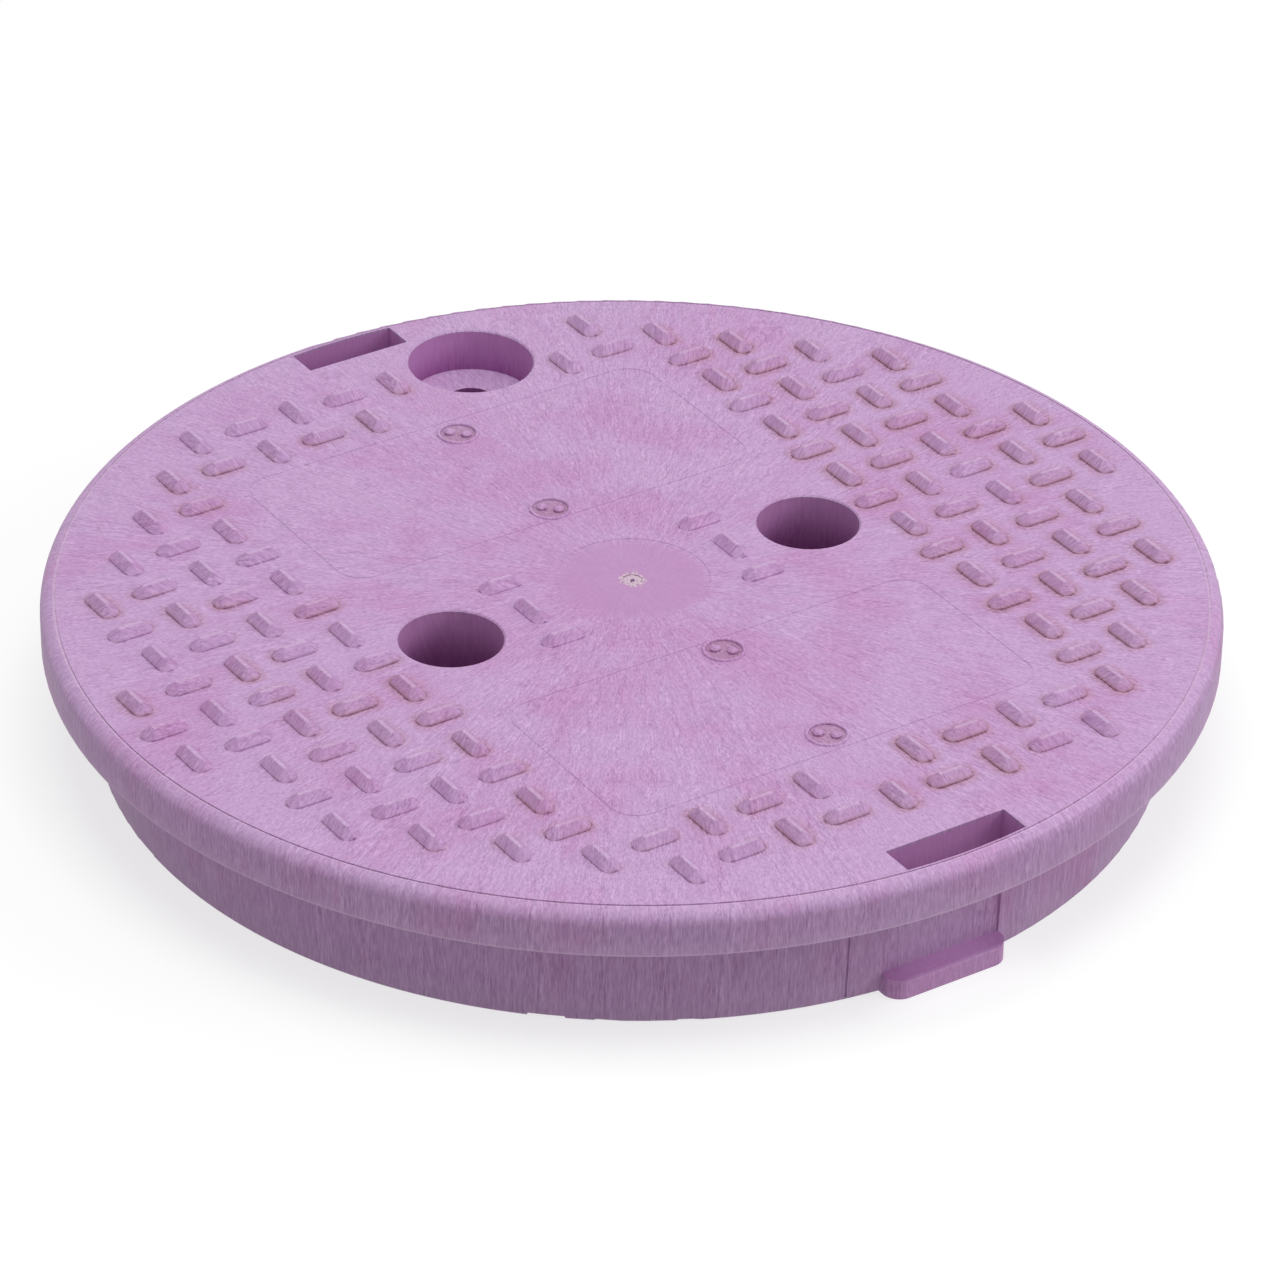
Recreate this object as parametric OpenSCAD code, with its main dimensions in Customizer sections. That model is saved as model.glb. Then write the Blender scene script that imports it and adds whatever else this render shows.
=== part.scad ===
// Round lock-down cover for a 10 inch valve box, moulded in one piece.
// Z is up, the axis of the cover is Z, and the cover stands on the foot of its skirt at z = 0.
// X runs along the two lift holes, Y runs through the two lift slots and the lugs below them.

/* [Plate and rim] */
// Outer diameter of the rim
cover_d = 300; // [290:1:330]
// Height from the skirt's foot to the plate's top face, without the tread
cover_h = 40.5; // [36:0.5:60]
// Thickness of the plate
plate_t = 6.5; // [5:0.5:9]
// Height of the rim's outer face, from the plate's top face to the seat under it
rim_h = 12.1; // [10.5:0.1:16]
// Radius of the rim's rounded shoulder
shoulder_r = 4; // [2:0.5:6]
// Distance from the rim's outer face to the fine groove round the plate
groove_inset = 3.6; // [3:0.1:6]
// Width of the fine groove
groove_w = 0.7; // [0.4:0.1:1.2]
// Depth of the fine groove
groove_depth = 0.4; // [0.2:0.1:0.8]

/* [Skirt] */
// How far the rim stands out over the skirt
rim_overhang = 11.8; // [8:0.1:16]
// Draft of the skirt: how much its outer radius shrinks from the rim to the foot
skirt_draft = 1.4; // [0.4:0.1:3]
// Wall of the skirt at its foot
skirt_wall = 6; // [5:0.5:8]
// Rounding of the skirt's foot
foot_round = 1.2; // [0.6:0.2:2]
// Width of a notch in the skirt's foot
notch_w = 9; // [6:0.5:12]
// Height of a notch in the skirt's foot
notch_h = 1.1; // [0.8:0.1:3]
// Rounding of the two lips beside a notch
notch_lip_r = 1; // [0.5:0.1:1.6]
// Angle of the first notch, counted from +X
notch_angle = 175.6; // [170:0.1:180]
// Angle between the two notches of a pair
notch_step = 53; // [45:0.5:60]
// Angle of the fine witness line on the skirt beside the front lug
witness_angle = -100.8; // [-104:0.1:-98]
// Width of the witness line
witness_w = 0.5; // [0.3:0.1:1]
// Depth of the witness line
witness_depth = 0.3; // [0.1:0.1:0.6]

/* [Lift slots and lugs] */
// Width of the slot at the front, which is the wider one
front_slot_w = 34.6; // [28:0.2:40]
// Width of the slot at the back
back_slot_w = 30.2; // [24:0.2:40]
// Distance along X from the cover's axis to the middle of the front slot and its lug
front_slot_x = 0.9; // [-2:0.1:2]
// How deep the flat inner wall of a slot bites into the skirt's foot
slot_bite = 1.3; // [0.6:0.1:2.4]
// Land between the curved outer wall of a slot and the middle of the fine groove
slot_land = 0.8; // [0.6:0.1:3]
// How far a lug stands out from the skirt's foot
lug_reach = 4.7; // [3:0.1:6]
// Height of a lug
lug_h = 5.3; // [4:0.1:8]
// Radius of a lug's front corners
lug_corner_r = 4.6; // [2:0.1:5]
// Rounding of a lug's upper front edge
lug_edge_r = 1; // [0.4:0.1:2]

/* [Lift holes] */
// Diameter of a lift hole
lift_hole_d = 26.7; // [20:0.1:32]
// Distance from the cover's axis to the middle of a lift hole
lift_hole_x = 54; // [50:0.5:56]
// Length of a lift hole, from the plate's top face to the end of the tube below
lift_hole_l = 17.5; // [14:0.5:24]
// Wall of the tube round a lift hole
lift_tube_wall = 3.5; // [2.5:0.5:5]

/* [Bolt recess] */
// Angle of the bolt recess, counted from +X
bolt_angle = 78.3; // [74:0.1:80]
// Distance from the rim's outer face to the middle of the bolt recess
bolt_inset = 29.9; // [29:0.1:36]
// Diameter of the recess for the bolt's head
recess_d = 33.8; // [28:0.2:34]
// Depth of the recess
recess_depth = 12.1; // [10:0.1:12.5]
// Diameter of the bolt hole
bolt_hole_d = 13; // [9:0.5:16]
// Length of the bolt hole, through the recess's floor and the boss
bolt_hole_l = 5.4; // [4.5:0.1:10]
// Wall of the cup round the recess
cup_wall = 3.5; // [2.5:0.5:5]
// Wall of the boss round the bolt hole
bolt_boss_wall = 4.5; // [3:0.5:8]
// Break of the edges round the lift holes and the recess
edge_break = 0.4; // [0.2:0.1:0.8]

/* [Tread bars] */
// Distance between neighbouring bars along X
tread_pitch_x = 15.1; // [14.5:0.1:18]
// Distance between neighbouring bars along Y
tread_pitch_y = 14.7; // [14.2:0.1:17]
// Length of a bar
bar_l = 12.4; // [8:0.1:13]
// Width of a bar
bar_w = 5.4; // [4:0.1:6]
// Height of a bar
bar_h = 2.4; // [1.2:0.1:2.6]
// Height of the upright edge along a bar's sides
bar_edge_h = 0.35; // [0.2:0.05:0.8]
// Width of the flat ridge on a bar
bar_ridge_w = 0.9; // [0.4:0.1:1.6]
// Distance from a bar's tip to the end of its ridge
bar_hip = 2.8; // [2:0.1:3.8]
// Angle by which the two facets at a bar's end turn away from its length
bar_facet_angle = 38; // [25:1:50]
// Run of a facet, from the end of the ridge down to the upright edge
bar_facet_run = 2.4; // [1.8:0.1:3]
// Distance from the rim's outer face to the circle that holds the middles of all the bars
tread_inset = 13.2; // [13:0.1:20]
// Least distance from a bar's middle to the middle of the bolt recess
tread_bolt_gap = 23; // [22:0.5:24]

/* [Panels] */
// Width of a marking panel
panel_w = 124; // [100:1:130]
// Length of a marking panel along Y
panel_l = 58; // [50:1:60]
// Distance from the X axis to a panel's near edge
panel_y = 35; // [34:0.5:36]
// Radius of a panel's corners
panel_r = 8; // [4:0.5:12]
// Width of the witness line round a panel
panel_line_w = 0.4; // [0.3:0.1:1]
// Depth of the witness line round a panel
panel_line_depth = 0.1; // [0.05:0.05:0.4]

/* [Date dials and gate] */
// Distance along X from the cover's axis to the middle of the dials
dial_x = 0.9; // [-2:0.1:2]
// Distance from the X axis to the inner dials
dial_y1 = 40.5; // [30:0.5:50]
// Distance from the X axis to the outer dials
dial_y2 = 86; // [70:0.5:90]
// Diameter of the middle of a dial's half-round bead
dial_d = 10.2; // [8:0.2:13]
// Radius of the bead
dial_bead_r = 0.5; // [0.3:0.1:0.8]
// Depth of a dial's face below the plate's top face
dial_depth = 0.2; // [0.1:0.1:1.2]
// Diameter of the two domed pins in a dial
pin_d = 2.8; // [2:0.1:3.6]
// Height of a pin above the dial's face
pin_h = 1.2; // [0.6:0.1:2]
// Radius of the dome on a pin
pin_dome_r = 1.9; // [1.9:0.1:4]
// Distance between the middles of the two pins
pin_step = 4.5; // [4:0.1:5.4]
// Diameter of the shallow dish round the gate mark
gate_dish_d = 40; // [20:1:50]
// Depth of the dish
gate_dish_depth = 0.1; // [0.05:0.05:0.4]
// Diameter of the gate mark
gate_d = 5.2; // [4:0.1:9]
// Depth of the gate mark below the dish
gate_depth = 0.3; // [0.2:0.1:0.8]
// Diameter of the pit torn in the middle of the gate mark
gate_pit_d = 1.2; // [0.8:0.1:3]
// Depth of the pit below the gate mark
gate_pit_depth = 0.8; // [0.4:0.1:1.6]

/* [Ribs under the plate] */
// Number of spokes
spokes = 12; // [6:2:16]
// Depth of the ribs below the plate
rib_h = 7.5; // [5:0.5:16]
// Thickness of a rib at the plate
rib_root_t = 4.4; // [3:0.2:6]
// Thickness of a rib at its free edge
rib_tip_t = 3.2; // [2:0.2:4]
// Radius of the middle of the hub ring
hub_ring_r = 26; // [20:1:30]
// Radius of the middle of the outer ring
outer_ring_r = 92; // [84:1:96]

/* [Hidden] */
$fn = 96;
EPS = 0.01;
OVERLAP = 1;
plastic = [0.74, 0.58, 0.76];
rim_r = cover_d / 2;
rim_z = cover_h - rim_h;
plate_z = cover_h - plate_t;
skirt_top_r = rim_r - rim_overhang;
skirt_foot_r = skirt_top_r - skirt_draft;
skirt_in_r = skirt_foot_r - skirt_wall;
groove_r = rim_r - groove_inset;
slot_in = skirt_foot_r - slot_bite;
slot_out_r = groove_r - slot_land;
lug_out = skirt_foot_r + lug_reach;
bolt_x = (rim_r - bolt_inset) * cos(bolt_angle);
bolt_y = (rim_r - bolt_inset) * sin(bolt_angle);
tread_r = rim_r - tread_inset;
recess_z = cover_h - recess_depth;
bolt_boss_z = recess_z - bolt_hole_l;
lift_tube_z = cover_h - lift_hole_l;
rib_z = plate_z - rib_h;
cavity_r = skirt_in_r + skirt_wall / 2;
tread_rows = floor(slot_in / tread_pitch_y - 0.5);
tread_columns = floor(tread_r / tread_pitch_x);
inner_row = 2;
panel_half_w = panel_w / 2;
panel_far_y = panel_y + panel_l;

// Flat outline with four round corners, centred on the origin
module rounded_rectangle(size_x, size_y, r) {
    square([size_x - 2 * r, size_y], center = true);
    square([size_x, size_y - 2 * r], center = true);
    for (sx = [-1, 1], sy = [-1, 1])
        translate([sx * (size_x / 2 - r), sy * (size_y / 2 - r)]) circle(r);
}

// Half section of the skirt: drafted outside, upright inside, with a round foot
module skirt_section() {
    polygon([
        [skirt_in_r, foot_round],
        [skirt_foot_r, foot_round],
        [skirt_top_r, rim_z + OVERLAP],
        [skirt_in_r, rim_z + OVERLAP]
    ]);
    translate([skirt_in_r + foot_round, 0]) square([skirt_wall - 2 * foot_round, 2 * foot_round]);
    translate([skirt_in_r + foot_round, foot_round]) circle(foot_round);
    translate([skirt_foot_r - foot_round, foot_round]) circle(foot_round);
}

// Half section of the plate and the rim with its round shoulder
module plate_section() {
    translate([0, plate_z]) square([rim_r - shoulder_r, plate_t]);
    translate([skirt_in_r, rim_z]) square([rim_r - shoulder_r - skirt_in_r, rim_h]);
    translate([skirt_in_r, rim_z]) square([rim_r - skirt_in_r, rim_h - shoulder_r]);
    translate([rim_r - shoulder_r, cover_h - shoulder_r]) circle(shoulder_r);
}

module shell() {
    rotate_extrude() {
        plate_section();
        skirt_section();
    }
}

// Upright tube or post that hangs under the plate and ends inside the skirt's wall
module hanging_post(x, y, d, foot_z) {
    intersection() {
        translate([x, y, foot_z]) cylinder(d = d, h = plate_z + OVERLAP - foot_z);
        translate([0, 0, foot_z - OVERLAP]) cylinder(r = cavity_r, h = cover_h);
    }
}

module lift_tubes() {
    for (side = [-1, 1])
        hanging_post(side * lift_hole_x, 0, lift_hole_d + 2 * lift_tube_wall, lift_tube_z);
}

module bolt_cup() {
    hanging_post(bolt_x, bolt_y, recess_d + 2 * cup_wall, recess_z - cup_wall);
    hanging_post(bolt_x, bolt_y, bolt_hole_d + 2 * bolt_boss_wall, bolt_boss_z);
}

// Section of a rib, thinner at its free edge, with the plate's side up
module rib_section() {
    polygon([
        [-rib_tip_t / 2, 0],
        [rib_tip_t / 2, 0],
        [rib_root_t / 2, rib_h + OVERLAP],
        [-rib_root_t / 2, rib_h + OVERLAP]
    ]);
}

module ring_rib(r) {
    translate([0, 0, rib_z]) rotate_extrude() translate([r, 0]) rib_section();
}

module spoke_rib(angle) {
    rotate([0, 0, angle]) translate([hub_ring_r, 0, rib_z])
        rotate([90, 0, 90]) linear_extrude(cavity_r - hub_ring_r) rib_section();
}

module ribs() {
    ring_rib(hub_ring_r);
    ring_rib(outer_ring_r);
    for (i = [0 : spokes - 1]) spoke_rib((i + 0.5) * 360 / spokes);
}

// Outline of a lug on the -Y side, with round front corners
module lug_outline(w, x) {
    r = lug_corner_r;
    translate([x - w / 2, r - lug_out]) square([w, lug_out - r - cavity_r]);
    for (side = [-1, 1])
        translate([x + side * (w / 2 - r), r - lug_out]) circle(r);
    translate([x - w / 2 + r, -lug_out]) square([w - 2 * r, r]);
}

// Section of a lug across its length, with a round upper front edge
module lug_section() {
    r = lug_edge_r;
    translate([-lug_out, 0]) square([lug_out - cavity_r, lug_h - r]);
    translate([r - lug_out, 0]) square([lug_out - cavity_r - r, lug_h]);
    translate([r - lug_out, lug_h - r]) circle(r);
}

// Flat bar that sticks out of the skirt's foot on the -Y side
module lug(w, x) {
    intersection() {
        linear_extrude(lug_h) lug_outline(w, x);
        translate([x, 0, 0]) rotate([90, 0, 90]) linear_extrude(w + OVERLAP, center = true) lug_section();
    }
}

// Slot on the -Y side, from the plate's top face down to the lug, which also flattens the skirt
module slot_cut(w, x) {
    translate([0, 0, lug_h]) linear_extrude(cover_h)
        intersection() {
            translate([x - w / 2, -rim_r]) square([w, rim_r - slot_in]);
            circle(slot_out_r);
        }
}

// Section of a roof: its slopes run from the ridge through the eaves at the edge's height and on down
module roof_section(eaves, ridge) {
    foot = eaves + (eaves - ridge) * (bar_edge_h + OVERLAP) / (bar_h - bar_edge_h);
    polygon([
        [-foot, -OVERLAP],
        [foot, -OVERLAP],
        [ridge, bar_h],
        [-ridge, bar_h]
    ]);
}

// Outline of a bar with round ends
module bar_outline() {
    square([bar_l - bar_w, bar_w], center = true);
    for (side = [-1, 1]) translate([side * (bar_l - bar_w) / 2, 0]) circle(d = bar_w);
}

// Roof whose slopes face along X turned by the given angle, and end a facet's run past the ridge
module end_roof(turn) {
    ridge = (bar_l / 2 - bar_hip) * cos(turn);
    rotate([0, 0, turn]) rotate([90, 0, 0]) linear_extrude(bar_l, center = true)
        roof_section(ridge + bar_facet_run, ridge);
}

// Tread bar along X, sunk a little below z = 0: a roof over its sides, and two facets at each end
module tread_bar() {
    intersection() {
        translate([0, 0, -OVERLAP]) linear_extrude(bar_h + OVERLAP) bar_outline();
        rotate([90, 0, 90]) linear_extrude(bar_l + OVERLAP, center = true)
            roof_section(bar_w / 2, bar_ridge_w / 2);
        end_roof(bar_facet_angle);
        end_roof(-bar_facet_angle);
    }
}

// A bar stands at column i and row j unless a panel, a hole or the bolt recess takes its place
function beside_panels(i) = (abs(i) + 0.5) * tread_pitch_x > panel_half_w + bar_l / 2;
function beyond_panels(j) = (abs(j) + 0.5) * tread_pitch_y > panel_far_y + bar_l / 2;
function in_field(i, j) = beside_panels(i) || (beyond_panels(j) && !(i == 0 && abs(j) % 2 == 1));
function in_inner_rows(i, j) = abs(i) == inner_row && abs(j) <= 1;
function inside_rim(i, j) = norm([i * tread_pitch_x, j * tread_pitch_y]) < tread_r;
function off_recess(i, j) =
    norm([i * tread_pitch_x - bolt_x, j * tread_pitch_y - bolt_y]) > tread_bolt_gap;
function has_bar(i, j) = (in_field(i, j) || in_inner_rows(i, j)) && inside_rim(i, j) && off_recess(i, j);

// Bars on a square grid, each turned a quarter from its neighbours
module tread() {
    for (i = [-tread_columns : tread_columns], j = [-tread_rows : tread_rows])
        if (has_bar(i, j))
            translate([i * tread_pitch_x, j * tread_pitch_y, cover_h])
                rotate([0, 0, (i + j) % 2 == 0 ? 90 : 0]) tread_bar();
}

module for_each_dial() {
    for (y = [-dial_y2, -dial_y1, dial_y1, dial_y2])
        translate([dial_x, y, cover_h]) children();
}

module dial_bead() {
    rotate_extrude() translate([dial_d / 2, 0]) circle(dial_bead_r);
}

module dial_cut() {
    translate([0, 0, -dial_depth]) cylinder(d = dial_d, h = dial_depth + EPS);
}

// Pin with a domed top, which stands on the dial's face at z = -dial_depth
module pin() {
    translate([0, 0, -dial_depth]) intersection() {
        translate([0, 0, -OVERLAP]) cylinder(d = pin_d, h = pin_h + OVERLAP);
        translate([0, 0, pin_h - pin_dome_r]) sphere(pin_dome_r);
    }
}

module dial_pins() {
    for (side = [-1, 1]) rotate([0, 0, -45]) translate([side * pin_step / 2, 0, 0]) pin();
}

module gate_cut() {
    mark_z = cover_h - gate_dish_depth - gate_depth;
    translate([0, 0, cover_h - gate_dish_depth]) cylinder(d = gate_dish_d, h = OVERLAP);
    translate([0, 0, mark_z]) cylinder(d = gate_d, h = gate_depth + EPS);
    translate([0, 0, mark_z - gate_pit_depth]) cylinder(d = gate_pit_d, h = gate_pit_depth + EPS);
}

module panel_line(side) {
    translate([0, side * (panel_y + panel_l / 2), cover_h - panel_line_depth])
        linear_extrude(OVERLAP) difference() {
            rounded_rectangle(panel_w, panel_l, panel_r);
            rounded_rectangle(panel_w - 2 * panel_line_w, panel_l - 2 * panel_line_w, panel_r - panel_line_w);
        }
}

module groove_cut() {
    translate([0, 0, cover_h - groove_depth]) rotate_extrude()
        translate([groove_r - groove_w / 2, 0]) square([groove_w, OVERLAP]);
}

// Round hole from z = foot_z up through the top face, with a broken upper edge
module hole_cut(d, foot_z) {
    translate([0, 0, foot_z]) cylinder(d = d, h = cover_h + bar_h - foot_z + OVERLAP);
    translate([0, 0, cover_h - edge_break])
        cylinder(d1 = d, d2 = d + 2 * (edge_break + EPS), h = edge_break + EPS);
}

module lift_hole_cuts() {
    for (side = [-1, 1])
        translate([side * lift_hole_x, 0, 0]) hole_cut(lift_hole_d, lift_tube_z - OVERLAP);
}

module bolt_cut() {
    translate([bolt_x, bolt_y, 0]) {
        hole_cut(recess_d, recess_z);
        translate([0, 0, bolt_boss_z - OVERLAP]) cylinder(d = bolt_hole_d, h = bolt_hole_l + 2 * OVERLAP);
    }
}

// Shallow notch across the skirt's foot, with its two lips rounded
module notch_cut(angle) {
    r = notch_lip_r;
    rotate([0, 0, angle]) translate([skirt_in_r - OVERLAP, 0, 0])
        rotate([90, 0, 90]) linear_extrude(skirt_wall + 2 * OVERLAP) {
            translate([-notch_w / 2, -OVERLAP]) square([notch_w, notch_h + OVERLAP]);
            for (side = [-1, 1]) difference() {
                translate([side * notch_w / 2 - (side < 0 ? r : 0), -OVERLAP]) square([r, r + OVERLAP]);
                translate([side * (notch_w / 2 + r), r]) circle(r);
            }
        }
}

module notch_cuts() {
    for (half_turn = [0, 180], step = [0, notch_step]) notch_cut(notch_angle + half_turn + step);
}

// Fine upright line left on the skirt by a joint in the mould, as deep above as below
module witness_cut() {
    rotate([90, 0, witness_angle]) linear_extrude(witness_w, center = true) polygon([
        [skirt_foot_r - witness_depth, foot_round],
        [skirt_foot_r + OVERLAP, foot_round],
        [skirt_top_r + OVERLAP, rim_z],
        [skirt_top_r - witness_depth, rim_z]
    ]);
}

module cover_body() {
    difference() {
        union() {
            shell();
            lift_tubes();
            bolt_cup();
            ribs();
            lug(front_slot_w, front_slot_x);
            rotate([0, 0, 180]) lug(back_slot_w, 0);
            tread();
        }
        slot_cut(front_slot_w, front_slot_x);
        rotate([0, 0, 180]) slot_cut(back_slot_w, 0);
        lift_hole_cuts();
        bolt_cut();
        for_each_dial() dial_cut();
        gate_cut();
        for (side = [-1, 1]) panel_line(side);
        groove_cut();
        notch_cuts();
        witness_cut();
    }
}

module cover() {
    color(plastic) {
        cover_body();
        for_each_dial() {
            dial_bead();
            dial_pins();
        }
    }
}

cover();
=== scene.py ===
# %% [markdown]
# Round cover of a valve box in satin purple plastic, dressed for a studio picture.
# The solid comes packed from the construction program. This lesson gives it soft moulded edges,
# a flow-streaked plastic with dirt round the tread bars, some light and shade painted into its colour,
# and light like that of the photograph.

import math

import bmesh
import bpy
from mathutils import Matrix, Vector


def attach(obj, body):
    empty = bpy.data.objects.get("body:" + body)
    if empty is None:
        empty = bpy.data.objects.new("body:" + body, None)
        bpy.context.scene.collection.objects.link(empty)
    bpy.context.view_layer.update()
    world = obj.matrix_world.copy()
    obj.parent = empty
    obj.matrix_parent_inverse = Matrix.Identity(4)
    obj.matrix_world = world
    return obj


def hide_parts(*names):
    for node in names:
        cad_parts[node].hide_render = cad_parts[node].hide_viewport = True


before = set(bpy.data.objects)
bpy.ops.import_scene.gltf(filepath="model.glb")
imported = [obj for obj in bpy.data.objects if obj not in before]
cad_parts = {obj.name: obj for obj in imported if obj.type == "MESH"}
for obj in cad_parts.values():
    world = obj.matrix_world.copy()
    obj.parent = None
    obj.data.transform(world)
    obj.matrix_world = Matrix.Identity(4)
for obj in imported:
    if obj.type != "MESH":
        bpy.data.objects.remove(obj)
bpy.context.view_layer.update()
cover_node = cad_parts["cover"]
print("triangles in the packed cover:", len(cover_node.data.polygons))

# %% [markdown]
# All sizes are in millimetres, as in the construction source, and MM turns them into metres.
# The values below are the ones that the finish needs: where the bars stand and how large they are.
# Beyond EDGE_R lie the slots, the face of the skirt, the rim, the lugs and the far wall of the recess.

# %% Sizes of the cover
MM = 0.001
COVER_H = 40.5
RIM_R, RIM_H = 150.0, 12.1
SEAT_Z = COVER_H - RIM_H
GROOVE_R, GROOVE_W = 146.4, 0.7
PITCH_X, PITCH_Y = 15.1, 14.7
BAR_L, BAR_W, BAR_H = 12.4, 5.4, 2.4
DIAL_X, DIAL_Y1, DIAL_Y2, DIAL_D, DIAL_BEAD_R = 0.9, 40.5, 86.0, 10.2, 0.5
BOLT_X, BOLT_Y, BOLT_GAP = 24.4, 117.6, 23.0
RECESS_R, RECESS_DEPTH = 16.9, 12.1
TREAD_R, TREAD_ROWS, FREE_ROW = 136.8, 8, 7
GATE_DISH_D, GATE_D = 40.0, 5.2
EDGE_R, LUG_FRONT_R = 134.0, 139.0
PANEL_W, PANEL_Y, PANEL_L = 124.0, 35.0, 58.0

# %% [markdown]
# A moulded part has no knife-sharp edge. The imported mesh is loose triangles, so a copy is welded first.
# The flat triangles of each tread bar are joined into whole faces, and a narrow two-step bevel then
# rounds its ridge, its arrises and its eaves. The plate round the bars stays as it is.

# %% Weld a copy and round the tread bars
WELD = 0.002 * MM
ROUNDING = 0.28 * MM
PLATE_Z, FOOT_Z = (COVER_H - 0.01) * MM, (COVER_H + 0.02) * MM
FLAT_ANGLE, ARRIS_ANGLE, SHARP_ANGLE = math.radians(0.8), math.radians(14), math.radians(28)


def over_dial(point):
    from_pair = abs(abs(point.y / MM) - (DIAL_Y1 + DIAL_Y2) / 2)
    along_y = from_pair - (DIAL_Y2 - DIAL_Y1) / 2
    return math.hypot(point.x / MM - DIAL_X, along_y) < DIAL_D / 2 + 2 * DIAL_BEAD_R


def bar_faces(bm):
    return {
        face for face in bm.faces
        if min(v.co.z for v in face.verts) > PLATE_Z
        and max(v.co.z for v in face.verts) > FOOT_Z
        and not over_dial(face.verts[0].co)
    }


def edges_inside(bm, faces):
    return [e for e in bm.edges if len(e.link_faces) == 2 and faces.issuperset(e.link_faces)]


def round_bars(bm):
    flat = [e for e in edges_inside(bm, bar_faces(bm)) if e.calc_face_angle() < FLAT_ANGLE]
    bmesh.ops.dissolve_edges(bm, edges=flat, use_verts=False, use_face_split=False)
    arrises = [
        e for e in edges_inside(bm, bar_faces(bm))
        if e.calc_face_angle() > ARRIS_ANGLE and min(v.co.z for v in e.verts) > FOOT_Z
    ]
    made = bmesh.ops.bevel(
        bm, geom=arrises, offset=ROUNDING, offset_type="OFFSET",
        segments=2, profile=0.5, affect="EDGES", clamp_overlap=True,
    )
    return len(arrises), len(made["faces"])


def moulded_copy(source, name):
    mesh = bpy.data.meshes.new(name)
    bm = bmesh.new()
    bm.from_mesh(source.data)
    bmesh.ops.remove_doubles(bm, verts=bm.verts, dist=WELD)
    bmesh.ops.dissolve_degenerate(bm, dist=WELD, edges=bm.edges)
    print("arrises rounded, faces made:", round_bars(bm))
    print("open edges:", sum(1 for e in bm.edges if len(e.link_faces) != 2))
    for face in bm.faces:
        face.smooth = True
    bm.to_mesh(mesh)
    bm.free()
    stored = mesh.attributes.get("custom_normal")
    if stored:
        mesh.attributes.remove(stored)
    mesh.set_sharp_from_angle(angle=SHARP_ANGLE)
    piece = bpy.data.objects.new(name, mesh)
    bpy.context.scene.collection.objects.link(piece)
    weighted = piece.modifiers.new("weighted_normals", "WEIGHTED_NORMAL")
    weighted.keep_sharp = True
    return piece


cover = moulded_copy(cover_node, "moulded_cover")
print("moulded cover:", len(cover.data.vertices), "vertices,", len(cover.data.polygons), "faces")

# %% Put the cover on its body
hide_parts("cover")
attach(cover, "root")

# %% [markdown]
# Shader nodes do the arithmetic of a procedural finish. This small wrapper writes a node per step,
# so that a pattern reads like a formula.

# %% A wrapper for shader arithmetic
class Shader:
    def __init__(self, name):
        self.material = bpy.data.materials.new(name)
        self.material.use_nodes = True
        self.tree = self.material.node_tree
        self.tree.nodes.clear()
        self.out = self.tree.nodes.new("ShaderNodeOutputMaterial")
        self.column = 0

    def node(self, kind, **settings):
        made = self.tree.nodes.new(kind)
        for key, value in settings.items():
            setattr(made, key, value)
        made.location = (-200 - 170 * (self.column % 12), -190 * (self.column // 12))
        self.column += 1
        return made

    def put(self, socket, value):
        if isinstance(value, bpy.types.NodeSocket):
            self.tree.links.new(value, socket)
        else:
            socket.default_value = value

    def math(self, operation, a, b=0.0):
        made = self.node("ShaderNodeMath", operation=operation)
        for socket, value in zip(made.inputs, (a, b)):
            self.put(socket, value)
        return made.outputs[0]

    def add(self, a, b):
        return self.math("ADD", a, b)

    def sub(self, a, b):
        return self.math("SUBTRACT", a, b)

    def mul(self, a, b):
        return self.math("MULTIPLY", a, b)

    def ramp(self, value, low, high, to_low=0.0, to_high=1.0):
        made = self.node("ShaderNodeMapRange", interpolation_type="SMOOTHSTEP")
        for socket, given in zip(made.inputs, (value, low, high, to_low, to_high)):
            self.put(socket, given)
        return made.outputs[0]

    def join(self, x, y, z):
        made = self.node("ShaderNodeCombineXYZ")
        for socket, value in zip(made.inputs, (x, y, z)):
            self.put(socket, value)
        return made.outputs[0]

    def noise(self, vector, scale, detail, roughness):
        made = self.node("ShaderNodeTexNoise")
        self.put(made.inputs["Vector"], vector)
        made.inputs["Scale"].default_value = scale
        made.inputs["Detail"].default_value = detail
        made.inputs["Roughness"].default_value = roughness
        return made.outputs["Fac"]

    def mix(self, factor, a, b):
        return self.blend("MIX", factor, a, b)

    def blend(self, kind, factor, a, b):
        made = self.node("ShaderNodeMix", data_type="RGBA", blend_type=kind, clamp_factor=False)
        self.put(made.inputs["Factor"], factor)
        self.put(made.inputs[6], a)
        self.put(made.inputs[7], b)
        return made.outputs[2]


# %% [markdown]
# Every layer of the finish reads the same few fields of a point: its place in millimetres, how far out it
# lies, how high it is and how steep the surface is there. They are made once.

# %% Fields that tell the parts of the cover apart
def length_2d(s, a, b):
    return s.math("SQRT", s.add(s.mul(a, a), s.mul(b, b)))


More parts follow.
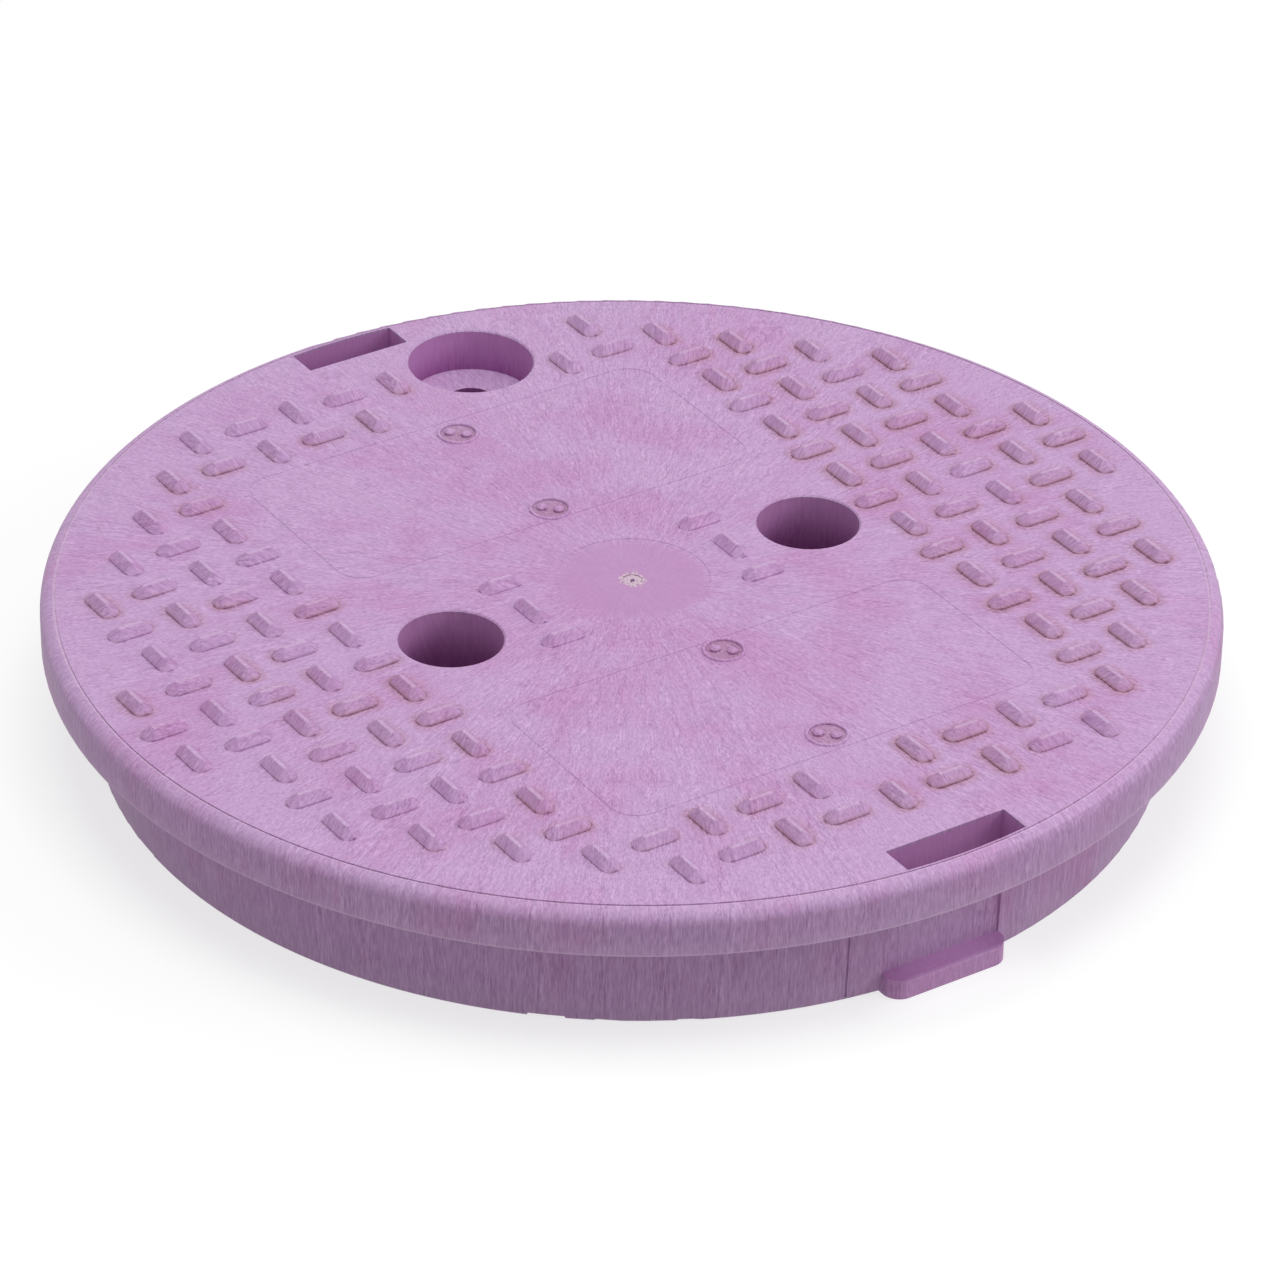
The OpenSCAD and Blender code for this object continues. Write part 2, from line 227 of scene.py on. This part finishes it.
class Fields:
    def __init__(self, s):
        scaled = s.node("ShaderNodeVectorMath", operation="SCALE")
        s.put(scaled.inputs[0], s.node("ShaderNodeTexCoord").outputs["Object"])
        scaled.inputs["Scale"].default_value = 1 / MM
        self.point = scaled.outputs[0]
        split = s.node("ShaderNodeSeparateXYZ")
        s.put(split.inputs[0], self.point)
        self.x, self.y, self.z = split.outputs
        self.radius = length_2d(s, self.x, self.y)
        self.bearing = s.math("ARCTAN2", self.y, self.x)
        self.top = s.ramp(self.z, COVER_H - 0.6, COVER_H - 0.3)
        normal = s.node("ShaderNodeSeparateXYZ")
        s.put(normal.inputs[0], s.node("ShaderNodeNewGeometry").outputs["Normal"])
        self.facing_up = normal.outputs["Z"]
        self.upright = s.ramp(s.math("ABSOLUTE", self.facing_up), 0.6, 0.3)
        from_bolt = length_2d(s, s.sub(self.x, BOLT_X), s.sub(self.y, BOLT_Y))
        at_recess = s.math("LESS_THAN", from_bolt, RECESS_R + 0.4)
        in_recess = s.mul(at_recess, s.math("GREATER_THAN", self.z, COVER_H - RECESS_DEPTH - 1))
        self.at_edge = s.mul(s.math("GREATER_THAN", self.radius, EDGE_R), s.sub(1.0, in_recess))


# %% [markdown]
# The melt ran from the gate in the middle to the rim and left short streaks along its way. Each streak
# texture is stretched along X, and thirty sectors turn it, so that it always points away from the gate.
# Two sets of sectors, half a step apart, fade into each other, and no seam shows.

# %% Streaks that run out from the gate
SECTORS = 30
SECTOR = 2 * math.pi / SECTORS
DOWN_THE_SIDE = 0.4


def streaks(s, f, length, width):
    """Noise round zero in streaks of that length and width, in millimetres."""
    turn = s.mul(f.bearing, 1 / SECTOR)
    layers = []
    for offset in (0.0, 0.5):
        step = s.add(s.math("ROUND", s.sub(turn, offset)), offset)
        angle = s.mul(step, SECTOR)
        cos_a, sin_a = s.math("COSINE", angle), s.math("SINE", angle)
        outward = s.add(s.mul(f.x, cos_a), s.mul(f.y, sin_a))
        along = s.sub(outward, s.mul(f.z, DOWN_THE_SIDE))
        across = s.sub(s.mul(f.y, cos_a), s.mul(f.x, sin_a))
        seed = s.add(s.mul(cos_a, 31.0), s.mul(sin_a, 47.0))
        stretched = s.join(s.mul(along, 1 / length), s.mul(across, 1 / width), seed)
        weight = s.sub(1.0, s.mul(s.math("ABSOLUTE", s.sub(turn, step)), 2.0))
        layers.append(s.mul(s.sub(s.noise(stretched, 1.0, 3.0, 0.6), 0.5), weight))
    return s.add(*layers)


# %% [markdown]
# The cover is one colour of plastic, but the photograph shows lavender and pink clouds in it. They are a
# few centimetres wide, drawn out along the flow, and pinker near the gate. The dish round the gate is
# smooth and pinker still.

# %% Colour of the melt
LAVENDER = (0.482, 0.308, 0.522, 1)
PINK = (0.466, 0.250, 0.466, 1)
DISH_PINK = (0.448, 0.235, 0.446, 1)
DISH_TINT = 0.7
CLOUD_SIZE = 24


def dish_field(s, f, broad):
    uneven_radius = s.add(f.radius, s.mul(broad, 4.0))
    return s.mul(s.ramp(uneven_radius, GATE_DISH_D / 2 + 1, GATE_DISH_D / 2 - 4), f.top)


def melt_colour(s, f, broad, dish):
    cloud = s.add(s.noise(f.point, 1 / CLOUD_SIZE, 3.0, 0.55), s.mul(broad, 0.5))
    tint = s.ramp(s.sub(cloud, s.mul(f.radius, 0.0012)), 0.26, 0.62)
    colour = s.mix(tint, LAVENDER, PINK)
    return s.mix(s.mul(dish, DISH_TINT), colour, DISH_PINK)


# %% [markdown]
# The light that reaches the walls of holes and slots has touched plastic before, so they look vivid near
# the top and deep further down. This bounce light and shade are painted into the colour. The outside, the
# bars' slanted sides and the tops of the lugs get a little painted shade, and the fronts of the lugs painted
# light.

# %% Painted bounce light and shade away from the open top
VIVID_BOUNCE = (0.53, 0.24, 0.52, 1)
DEEP_SHADE = (0.26, 0.06, 0.245, 1)
WALL_BOUNCE_AND_SHADE, BAR_SLOPE_SHADE, OUTSIDE_SHADE = 0.9, 0.14, 0.12
LUG_TOP_SHADE, LUG_FRONT_LIGHT = 0.6, 0.7


def wall_field(s, f):
    """One on the walls of the holes and the hollow below, and on the slots' walls above the rim's seat."""
    within = s.mul(s.ramp(f.z, COVER_H - 0.3, COVER_H - 1.0), s.math("LESS_THAN", f.radius, GROOVE_R - 0.5))
    lowest = s.add(s.mul(f.at_edge, SEAT_Z), 1.0)
    above_lowest = s.math("GREATER_THAN", f.z, lowest)
    return s.mul(f.upright, s.mul(within, above_lowest))


def lug_fields(s, f):
    """One on the tops of the lugs, and one on their fronts."""
    low = s.math("LESS_THAN", f.z, SEAT_Z - 2)
    lug_top = s.mul(s.mul(low, s.ramp(f.facing_up, 0.3, 0.8)), f.at_edge)
    lug_front = s.mul(s.mul(low, f.upright), s.math("GREATER_THAN", f.radius, LUG_FRONT_R))
    return lug_top, lug_front


def painted_bounce_and_shade(s, f, colour, wall, lug_top, lug_front):
    # Painted bounce light near the top of the walls, turning to painted shade further down.
    bounce_to_shade = s.mix(s.ramp(f.z, COVER_H - 2, COVER_H - 16), VIVID_BOUNCE, DEEP_SHADE)
    colour = s.mix(s.mul(wall, WALL_BOUNCE_AND_SHADE), colour, bounce_to_shade)
    # Painted shade on the bars' slanted sides and on the upright outside faces.
    slanted = s.mul(s.ramp(f.facing_up, 0.95, 0.8), s.ramp(f.z, COVER_H + 0.1, COVER_H + 0.4))
    outside = s.mul(f.upright, f.at_edge)
    # Painted shade on the tops of the lugs.
    lug_and_outside_shade = s.add(s.mul(lug_top, LUG_TOP_SHADE), s.mul(outside, OUTSIDE_SHADE))
    colour = s.mix(s.add(s.mul(slanted, BAR_SLOPE_SHADE), lug_and_outside_shade), colour, DEEP_SHADE)
    # Painted light on the fronts of the lugs.
    return s.mix(s.mul(lug_front, LUG_FRONT_LIGHT), colour, VIVID_BOUNCE)


# %% [markdown]
# Dirt gathers round a bar: a faint brown halo in patches. A thin darker crease at its foot is painted shade,
# with more dirt where the patches lie. The distance from the nearest bar is worked out from the grid, and
# the tread rule of the construction source says which places of the field hold a bar. The six bars between
# the lift holes stay clean.

# %% Dirt and painted crease shade round the bars
DARK_BROWN = (0.22, 0.10, 0.10, 1)
HALO = (0.40, 0.20, 0.28, 1)
HALO_TINT = 0.48
CREASE_SHADE, CREASE_GRIME = 0.15, 0.35
PATCH_SIZE = 38


def bar_place(s, f):
    """Column, row and middle of the tread bar nearest to a point."""
    column = s.math("ROUND", s.mul(f.x, 1 / PITCH_X))
    row = s.math("ROUND", s.mul(f.y, 1 / PITCH_Y))
    return column, row, s.mul(column, PITCH_X), s.mul(row, PITCH_Y)


def bar_distance(s, f):
    """Distance in millimetres from the outline of the nearest bar, below zero inside it."""
    column, row, middle_x, middle_y = bar_place(s, f)
    odd = s.math("ABSOLUTE", s.math("MODULO", s.add(column, row), 2.0))
    even = s.sub(1.0, odd)
    dx, dy = s.sub(f.x, middle_x), s.sub(f.y, middle_y)
    along = s.math("ABSOLUTE", s.add(s.mul(dx, odd), s.mul(dy, even)))
    across = s.add(s.mul(dx, even), s.mul(dy, odd))
    past = s.math("MAXIMUM", s.sub(along, (BAR_L - BAR_W) / 2), 0.0)
    return s.sub(length_2d(s, past, across), BAR_W / 2)


def bar_field(s, f):
    """One at the bars of the field, zero on the panels and between them, at the recess and near the rim."""
    _, _, middle_x, middle_y = bar_place(s, f)
    out_x, out_y = s.math("ABSOLUTE", middle_x), s.math("ABSOLUTE", middle_y)
    beside = s.math("GREATER_THAN", out_x, PANEL_W / 2 + BAR_L / 2)
    beyond = s.math("GREATER_THAN", out_y, PANEL_Y + PANEL_L + BAR_L / 2)
    inside = s.math("LESS_THAN", length_2d(s, middle_x, middle_y), TREAD_R)
    from_bolt = length_2d(s, s.sub(middle_x, BOLT_X), s.sub(middle_y, BOLT_Y))
    clear = s.math("GREATER_THAN", from_bolt, BOLT_GAP)
    before_slots = s.math("LESS_THAN", out_y, (TREAD_ROWS + 0.5) * PITCH_Y)
    from_free_place = s.add(out_x, s.math("ABSOLUTE", s.sub(out_y, FREE_ROW * PITCH_Y)))
    taken = s.math("GREATER_THAN", from_free_place, 1.0)
    field = s.mul(s.math("MAXIMUM", beside, beyond), inside)
    return s.mul(s.mul(field, clear), s.mul(before_slots, taken))


def bar_dirt_and_crease_shade(s, f, colour, fine):
    drift = s.add(s.mul(f.x, 0.0008), s.mul(f.y, -0.0004))
    patch = s.ramp(s.add(s.noise(f.point, 1 / PATCH_SIZE, 2.0, 0.5), drift), 0.39, 0.60)
    distance = s.add(bar_distance(s, f), s.mul(fine, 1.5))
    field = s.mul(bar_field(s, f), f.top)
    halo = s.mul(s.ramp(distance, 3.2, 0.2), s.ramp(distance, -1.6, 0.4, 0.3, 1.0))
    colour = s.mix(s.mul(s.mul(halo, HALO_TINT), s.mul(patch, field)), colour, HALO)
    # Painted shade in the crease at each bar's foot, darker still with dirt where the patches lie.
    crease = s.mul(s.ramp(s.math("ABSOLUTE", distance), 0.5, 0.05), field)
    return s.mix(s.mul(crease, s.add(s.mul(patch, CREASE_GRIME), CREASE_SHADE)), colour, DARK_BROWN)


# %% [markdown]
# The sunk faces of the dials are darkened a little. The fine groove is painted paler than its own shadow
# would leave it: painted light.

# %% Dials and groove
PALE = (0.66, 0.50, 0.66, 1)
DIAL_DARKENING, GROOVE_LIGHT = 0.3, 0.8


def dials_and_groove(s, f, colour):
    sunk = s.mul(s.ramp(f.z, COVER_H + 0.35, COVER_H - 0.1), f.top)
    from_pair = s.sub(s.math("ABSOLUTE", f.y), (DIAL_Y1 + DIAL_Y2) / 2)
    along_y = s.sub(s.math("ABSOLUTE", from_pair), (DIAL_Y2 - DIAL_Y1) / 2)
    from_dial = length_2d(s, s.sub(f.x, DIAL_X), along_y)
    # The sunk face of each dial is darkened a little.
    in_dial = s.mul(s.ramp(from_dial, DIAL_D / 2, DIAL_D / 2 - 1.0), sunk)
    colour = s.mix(s.mul(in_dial, DIAL_DARKENING), colour, DARK_BROWN)
    # Painted light: the groove is lifted paler against its own shadow.
    off_groove = s.math("ABSOLUTE", s.sub(f.radius, GROOVE_R))
    in_groove = s.mul(s.ramp(off_groove, GROOVE_W / 2 + 0.1, GROOVE_W / 2 - 0.1), sunk)
    return s.mix(s.mul(in_groove, GROOVE_LIGHT), colour, PALE)


# %% [markdown]
# The parting edge under the rim is worn paler, and the ridges of the bars are worn paler with a painted
# highlight. The rim is paler towards its lower edge, and the foot of the skirt is painted paler as painted
# bounce light. The gate was torn off and left a pale ragged mark with a few dark specks.

# %% Wear, painted light and gate mark
GATE_WHITE = (0.70, 0.60, 0.62, 1)
SPECK = (0.05, 0.025, 0.04, 1)
RIDGE_WEAR_AND_HIGHLIGHT, WORN_PARTING, LOWER_PALING_AND_BOUNCE = 0.2, 0.35, 0.12
MARKED, SPECKED = 0.75, 0.9


def wear_and_painted_light(s, f, colour):
    # The ridges of the bars: worn paler, and a painted highlight.
    ridge_wear_and_highlight = s.ramp(f.z, COVER_H + BAR_H - 0.25, COVER_H + BAR_H - 0.02)
    parting = s.mul(s.ramp(f.z, SEAT_Z + 0.7, SEAT_Z + 0.1), s.ramp(f.radius, RIM_R - 0.6, RIM_R - 0.2))
    # The rim is paler towards its lower edge.
    rim_lower_paling = s.mul(s.ramp(f.z, SEAT_Z + 5, SEAT_Z), s.ramp(f.radius, RIM_R - 1.5, RIM_R - 1))
    # Painted bounce light: the foot of the skirt is paler.
    foot_bounce_light = s.ramp(f.z, 10.0, 1.0)
    edges = s.add(s.mul(ridge_wear_and_highlight, RIDGE_WEAR_AND_HIGHLIGHT), s.mul(parting, WORN_PARTING))
    paling_and_bounce = s.mul(s.add(rim_lower_paling, foot_bounce_light), LOWER_PALING_AND_BOUNCE)
    return s.mix(s.add(edges, paling_and_bounce), colour, PALE)


def gate_marked(s, f, colour):
    ragged = s.mul(s.sub(s.noise(f.point, 1 / 1.2, 2.0, 0.6), 0.5), 4.0)
    mark = s.mul(s.ramp(s.add(f.radius, ragged), GATE_D / 2 + 0.9, GATE_D / 2 + 0.1), f.top)
    colour = s.mix(s.mul(mark, MARKED), colour, GATE_WHITE)
    specks = s.ramp(s.noise(f.point, 1 / 0.5, 1.0, 0.5), 0.57, 0.64)
    return s.mix(s.mul(s.mul(specks, mark), SPECKED), colour, SPECK)


# %% [markdown]
# The layers come together here in order: the melt's colour, painted bounce light and shade, dirt and painted
# crease shade round the bars, the dials and the painted light in the groove, the grain, wear and painted
# light, and the gate mark. The grain is added after the dirt and painted shade, so it shows through, and it
# gives a very shallow relief. The fine streaks vary the roughness.

# %% Purple structural plastic
LIGHT_GRAIN = (0.13, 0.098, 0.132, 1)
BROAD_STREAK, LONG_STREAK, FINE_STREAK = (14.0, 2.4), (5.0, 0.75), (1.2, 0.4)
GRAIN, LONG_SHARE, CALM = 4.6, 0.5, 0.7
SATIN, DULL = 0.42, 0.58
SHEEN = 0.22
RELIEF, RELIEF_STRENGTH = 0.1 * MM, 0.35


def purple_plastic():
    s = Shader("purple_plastic")
    f = Fields(s)
    broad, long, fine = [streaks(s, f, *size) for size in (BROAD_STREAK, LONG_STREAK, FINE_STREAK)]
    dish, wall = dish_field(s, f, broad), wall_field(s, f)
    lug_top, lug_front = lug_fields(s, f)
    smooth = s.math("MAXIMUM", dish, s.math("MAXIMUM", wall, lug_top))
    grain = s.mul(s.add(fine, s.mul(long, LONG_SHARE)), s.sub(1.0, s.mul(smooth, CALM)))

    colour = melt_colour(s, f, broad, dish)
    # Painted bounce light and shade on the walls, the outside and the lugs.
    colour = painted_bounce_and_shade(s, f, colour, wall, lug_top, lug_front)
    # Dirt round the bars, and painted shade in the creases at their feet.
    colour = bar_dirt_and_crease_shade(s, f, colour, fine)
    colour = dials_and_groove(s, f, colour)
    colour = s.blend("ADD", s.mul(grain, GRAIN), colour, LIGHT_GRAIN)
    # Wear, a painted highlight on the ridges and painted bounce light at the foot.
    colour = wear_and_painted_light(s, f, colour)
    colour = gate_marked(s, f, colour)

    shade = s.node("ShaderNodeBsdfPrincipled")
    s.put(shade.inputs["Base Color"], colour)
    s.put(shade.inputs["Roughness"], s.ramp(fine, -0.3, 0.3, SATIN, DULL))
    shade.inputs["Specular IOR Level"].default_value = SHEEN
    bump = s.node("ShaderNodeBump")
    bump.inputs["Strength"].default_value = RELIEF_STRENGTH
    bump.inputs["Distance"].default_value = RELIEF
    s.put(bump.inputs["Height"], grain)
    s.put(shade.inputs["Normal"], bump.outputs["Normal"])
    s.put(s.out.inputs["Surface"], shade.outputs[0])
    return s.material


cover.data.materials.clear()
cover.data.materials.append(purple_plastic())
print("nodes in the plastic:", len(cover.data.materials[0].node_tree.nodes))

# %% [markdown]
# The camera stands where the photograph was taken from: a long lens that looks down by 32 degrees, with
# the front lift slot to the right. Its axes were solved from the rim and the tread.

# %% Camera
CAMERA_PLACE = Vector((-0.73004, -1.104821, 0.848268))
CAMERA_RIGHT = Vector((0.838333, -0.54496, 0.014673))
CAMERA_UP = Vector((0.278029, 0.450545, 0.848357))
FOCAL_PX, IMAGE_PX, SENSOR = 6109.5, 1280, 36.0

camera_data = bpy.data.cameras.new("camera")
camera_data.sensor_width = SENSOR
camera_data.lens = FOCAL_PX / IMAGE_PX * SENSOR
camera = bpy.data.objects.new("camera", camera_data)
right = CAMERA_RIGHT.normalized()
back = right.cross(CAMERA_UP).normalized()
up = back.cross(right)
camera.matrix_world = Matrix.Translation(CAMERA_PLACE) @ Matrix((right, up, back)).transposed().to_4x4()
bpy.context.scene.collection.objects.link(camera)
bpy.context.scene.camera = camera
print("lens:", round(camera_data.lens, 1), "mm, distance:", round(CAMERA_PLACE.length, 3), "m")

# %% [markdown]
# The floor is a pale sheet that looks white to the camera and still takes a soft shadow. For the light
# that bounces off it, it is a mid grey with a glow. Under the cover it doesn't glow, so the holes stay dark.

# %% Floor and room
FLOOR_SIZE = 6.0
COVERED_R = 130.0
BOUNCE, BOUNCE_GLOW = 0.25, 0.30
SHOWN, SHOWN_GLOW = 0.3, 0.7
WHITE, BLACK = (1, 1, 1, 1), (0, 0, 0, 1)
ROOM_LIGHT = 0.44


def background_rays(tree):
    """One for rays that show the background: to the camera, in a reflection or through glass."""
    path = tree.nodes.new("ShaderNodeLightPath")
    found = path.outputs["Is Camera Ray"]
    for kind in ("Is Glossy Ray", "Is Transmission Ray"):
        either = tree.nodes.new("ShaderNodeMath")
        either.operation = "MAXIMUM"
        tree.links.new(found, either.inputs[0])
        tree.links.new(path.outputs[kind], either.inputs[1])
        found = either.outputs[0]
    return found


def floor_paint():
    s = Shader("floor_paint")
    split = s.node("ShaderNodeSeparateXYZ")
    s.put(split.inputs[0], s.node("ShaderNodeTexCoord").outputs["Object"])
    radius = length_2d(s, split.outputs["X"], split.outputs["Y"])
    open_floor = s.ramp(radius, (COVERED_R - 2) * MM, COVERED_R * MM)
    white = s.node("ShaderNodeBsdfDiffuse")
    white.inputs["Color"].default_value = WHITE
    dark = s.node("ShaderNodeBsdfDiffuse")
    dark.inputs["Color"].default_value = BLACK
    layers = []
    for diffuse_part, glow_part in ((BOUNCE, BOUNCE_GLOW), (SHOWN, SHOWN_GLOW)):
        lit = s.node("ShaderNodeMixShader")
        lit.inputs[0].default_value = diffuse_part
        s.put(lit.inputs[1], dark.outputs[0])
        s.put(lit.inputs[2], white.outputs[0])
        glow = s.node("ShaderNodeEmission")
        s.put(glow.inputs["Strength"], s.mul(open_floor, glow_part))
        both = s.node("ShaderNodeAddShader")
        s.put(both.inputs[0], lit.outputs[0])
        s.put(both.inputs[1], glow.outputs[0])
        layers.append(both.outputs[0])
    choice = s.node("ShaderNodeMixShader")
    s.put(choice.inputs[0], background_rays(s.tree))
    s.put(choice.inputs[1], layers[0])
    s.put(choice.inputs[2], layers[1])
    s.put(s.out.inputs["Surface"], choice.outputs[0])
    return s.material


floor_mesh = bpy.data.meshes.new("floor")
bm = bmesh.new()
bmesh.ops.create_grid(bm, x_segments=1, y_segments=1, size=FLOOR_SIZE / 2)
bm.to_mesh(floor_mesh)
bm.free()
floor = bpy.data.objects.new("floor", floor_mesh)
floor.data.materials.append(floor_paint())
bpy.context.scene.collection.objects.link(floor)

world = bpy.data.worlds.new("room")
bpy.context.scene.world = world
world.use_nodes = True
background = world.node_tree.nodes["Background"]
background.inputs["Color"].default_value = WHITE
strength = world.node_tree.nodes.new("ShaderNodeMapRange")
strength.inputs["To Min"].default_value = ROOM_LIGHT
strength.inputs["To Max"].default_value = 1.0
world.node_tree.links.new(background_rays(world.node_tree), strength.inputs["Value"])
world.node_tree.links.new(strength.outputs[0], background.inputs["Strength"])

# %% [markdown]
# A wide softbox overhead carries the top. A weaker one low on the right gives the bars their dark left
# side. Everything else is room light.

# %% Softboxes
def softbox(name, azimuth, elevation, distance, size, power):
    data = bpy.data.lights.new(name, "AREA")
    data.shape = "SQUARE"
    data.size = size
    data.energy = power
    lamp = bpy.data.objects.new(name, data)
    a, e = math.radians(azimuth), math.radians(elevation)
    lamp.location = distance * Vector((math.cos(a) * math.cos(e), math.sin(a) * math.cos(e), math.sin(e)))
    lamp.rotation_euler = lamp.location.to_track_quat("Z", "Y").to_euler()
    bpy.context.scene.collection.objects.link(lamp)


softbox("top_light", azimuth=-110, elevation=84, distance=2.0, size=1.2, power=23.8)
softbox("side_light", azimuth=-38, elevation=30, distance=2.0, size=1.0, power=11)
bpy.context.scene.view_settings.view_transform = "Standard"
